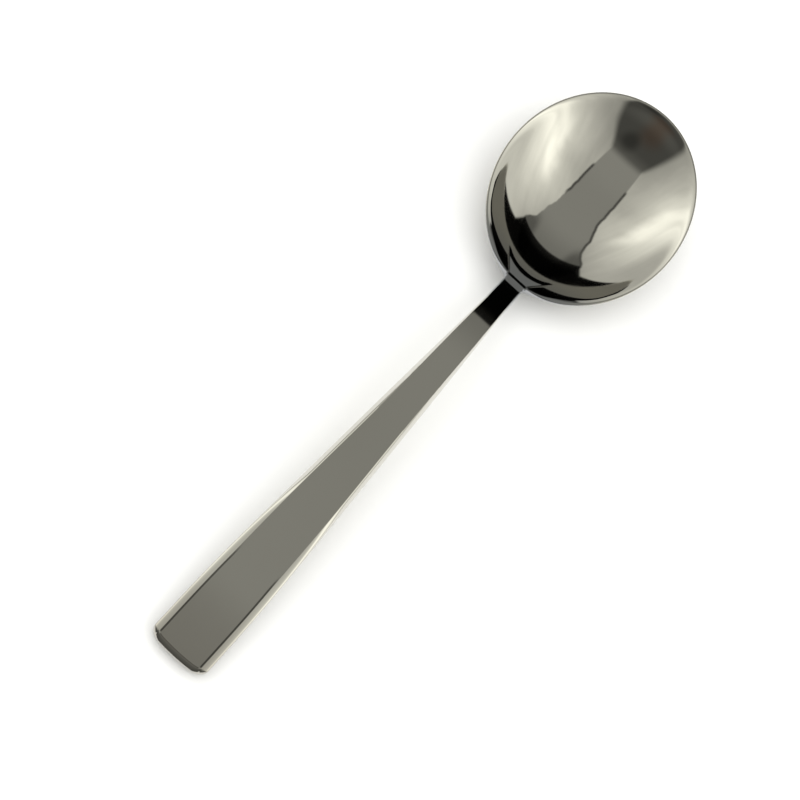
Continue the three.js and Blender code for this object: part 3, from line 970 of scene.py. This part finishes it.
def roof_strip(view):
    """Half the width of the grey roof strip, which flares towards the far end and wavers with noise,
    and its light, which is lower towards the far end and lowest in that end's corners."""
    along = view.along
    place = {0: along * WAVER_ALONG, 1: view.left * WAVER_SIDE}
    waver = view.tree.add("ShaderNodeCombineXYZ", place).noise(1, 2) - 0.5
    half = STRIP_HALF + along.ease(*STRIP_FLARE_SPAN) * STRIP_FLARE
    half = half + along.ease(*STRIP_END_SPAN) * STRIP_END_FLARE
    half = half + waver * along.ease(*WAVER_SPAN) * WAVER_WIDTH
    light = ROOF_LIGHT - along.ease(*ROOF_MIDDLE_SPAN) * ROOF_MIDDLE_LOSS
    light = light - along.ease(*ROOF_FAR_SPAN) * ROOF_FAR_LOSS
    corner = along.ease(*ROOF_CORNER_ALONG) * view.across.ease(*ROOF_CORNER_ACROSS)
    return half, light * (1 - corner * ROOF_CORNER_LOSS)


def roof_seams(view, half):
    """Share of the dark seams on both edges of the roof strip, of which one ends early."""
    seam = 1 - abs(view.across - half).ease(*SEAM_EDGE)
    whole = view.along.ease(*SEAM_START)
    short = whole * (1 - view.along.ease(*SHORT_SEAM_END))
    return seam * short.towards(whole, view.left)


def near_end(view):
    """Light of the dark near end, with one darker spot, and the shares of its opening, which tapers
    downwards and bulges to one side, and of the dark base below it."""
    low = view.low
    light = NEAR_END_LIGHT + (1 - low.ease(*NEAR_END_TOP_SPAN)) * NEAR_END_TOP_GAIN
    light = light + low.ease(*NEAR_END_MIDDLE_SPAN) * NEAR_END_MIDDLE_GAIN
    light = light + low.ease(*NEAR_END_LOW_SPAN) * NEAR_END_LOW_GAIN
    light = light * (1 - low.ease(*NEAR_END_FOOT_SPAN) * NEAR_END_FOOT_LOSS)
    light = light * (1 - view.blot(**SPOT) * SPOT_LOSS)
    spread = view.compass + low.ease(*NEAR_END_TAPER_SPAN) * NEAR_END_TAPER
    spread = spread - low.ease(*NEAR_END_BULGE_SPAN) * (1 - view.left) * NEAR_END_BULGE
    opening = low.ease(*NEAR_END_START) * (1 - spread.ease(*NEAR_END_SIDE))
    base = (1 - view.height.ease(*NEAR_BASE_HEIGHT)) * (1 - view.compass.ease(*NEAR_BASE_SIDE))
    return light, opening, base * (1 - view.ahead)


def far_end(view):
    """Share of the black far end: an opening that starts sharply, and a base whose top sinks as the
    compass turns away from the opening's side."""
    opening = view.along.ease(*FAR_END_START) * FAR_END_SHARE
    opening = opening + view.along.ease(*FAR_END_FADE) * (1 - FAR_END_SHARE)
    opening = opening * (1 - view.compass.ease(*FAR_END_SIDE))
    turned_away = view.tree.math("MAXIMUM", view.compass, FAR_BASE_SIDE)
    base = 1 - (view.height + turned_away * FAR_BASE_SLOPE).ease(*FAR_BASE_EDGE)
    return view.tree.math("MAXIMUM", opening, base * view.ahead)


def light_tent():
    """Soft light from all round, as in a cloth light tent open at its two ends: a grey roof strip with
    dark seams between two white walls, a dark near end with a brown blush, and a black far end. The
    camera itself sees a plain pale backdrop."""
    world = bpy.data.worlds.new("light_tent")
    tree = new_tree(world)
    view = TentView(tree)
    half, roof = roof_strip(view)
    light = cloth_walls(view).towards(roof, (half - view.across).ease(*STRIP_EDGE))
    light = light.towards(SEAM_LIGHT, roof_seams(view, half))
    dark, opening, base = near_end(view)
    light = light.towards(dark, tree.math("MAXIMUM", opening, base))
    light = light * (1 - far_end(view) * FAR_END_LOSS)

    backdrop = tree.add("ShaderNodeLightPath", out="Is Camera Ray")
    tint = tinted(tree, opening * view.blot(**BLUSH), TENT_TINT, BLUSH_TINT)
    colours = {
        "Color": tinted(tree, backdrop, tint, BACKDROP_TINT),
        "Strength": light.towards(BACKDROP_LIGHT, backdrop),
    }
    tree.add("ShaderNodeOutputWorld", {"Surface": tree.add("ShaderNodeBackground", colours)})
    bpy.context.scene.world = world


# Table, lamp and camera

TABLE_HALF = 3.0
FILL_SIZE = 6
FILL_ENERGY = 185
FILL_HEIGHT = 3
VIEW_TILT = math.radians(23.25)
VIEW_ROLL = math.radians(47.572)
VIEW_DISTANCE = 0.62
VIEW_TARGET = Vector((-0.00933, 0.00158, 0.00113))
VIEW_LENS = 100.73


def table():
    """A wide pale floor under the spoon."""
    mesh = bpy.data.meshes.new("table")
    corners = [(x * TABLE_HALF, y * TABLE_HALF, 0) for x, y in ((-1, -1), (1, -1), (1, 1), (-1, 1))]
    mesh.from_pydata(corners, [], [(0, 1, 2, 3)])
    mesh.materials.append(new_material("pale_board", pale_board))
    floor = bpy.data.objects.new("table", mesh)
    bpy.context.scene.collection.objects.link(floor)


def fill_light():
    """A wide soft lamp overhead that lifts the table and isn't mirrored in the steel."""
    lamp = bpy.data.lights.new("fill", "AREA")
    lamp.size = FILL_SIZE
    lamp.energy = FILL_ENERGY
    fill = bpy.data.objects.new("fill", lamp)
    fill.location = (0, 0, FILL_HEIGHT)
    fill.visible_glossy = False
    bpy.context.scene.collection.objects.link(fill)


def camera():
    """The camera stands over the handle's side, tipped back from straight above, and is rolled so that
    the spoon points up and to the right."""
    back = Vector((-math.sin(VIEW_TILT), 0, math.cos(VIEW_TILT)))
    tip = Vector((math.cos(VIEW_TILT), 0, math.sin(VIEW_TILT)))
    side = back.cross(tip)
    right = tip * math.cos(VIEW_ROLL) - side * math.sin(VIEW_ROLL)
    up = tip * math.sin(VIEW_ROLL) + side * math.cos(VIEW_ROLL)
    data = bpy.data.cameras.new("camera")
    data.lens = VIEW_LENS
    made = bpy.data.objects.new("camera", data)
    turn = Matrix((right, up, back)).transposed().to_4x4()
    made.matrix_world = Matrix.Translation(VIEW_TARGET + back * VIEW_DISTANCE) @ turn
    bpy.context.scene.collection.objects.link(made)
    bpy.context.scene.camera = made


# The spoon

bowl = bowl_skin()
bowl_points = turned(bowl.points)
foot = bowl_points[:, 2].min() + FOOT_DEPTH * MM
bowl_points[:, 2] = np.maximum(bowl_points[:, 2], foot)
rest_place = np.array([BOWL_HIGH.x - bowl_points[:, 0].max(), 0, BOWL_LOW.z - foot])
bowl_middle = rest_place[0]

bowl_polish = new_material("bowl_polish", bowl_steel)
handle_polish = new_material("handle_polish", handle_steel)
silver_braze = new_material("silver_braze", buffed_braze)

dress("bowl_forging", bowl_points + rest_place, bowl.faces, "bowl", bowl_polish)
for name, skin, node, slot, material in (
    ("front_shell", shell_skin(1), "handle_front", "polished_steel", handle_polish),
    ("back_shell", shell_skin(-1), "handle_back", "polished_steel", handle_polish),
    ("seam_line", seam_skin(), "seam_braze", "braze", silver_braze),
    ("mouth_ring", mouth_skin(), "mouth_braze", "braze", silver_braze),
):
    dress(name, turned(skin.points) + rest_place, skin.faces, node, material)

filler = frame["nodes"]["handle_filler"]
filler.data.materials.clear()
filler.data.materials.append(new_material("resin_cement", resin_cement))

table()
light_tent()
fill_light()
camera()
bpy.context.scene.view_settings.view_transform = "Standard"
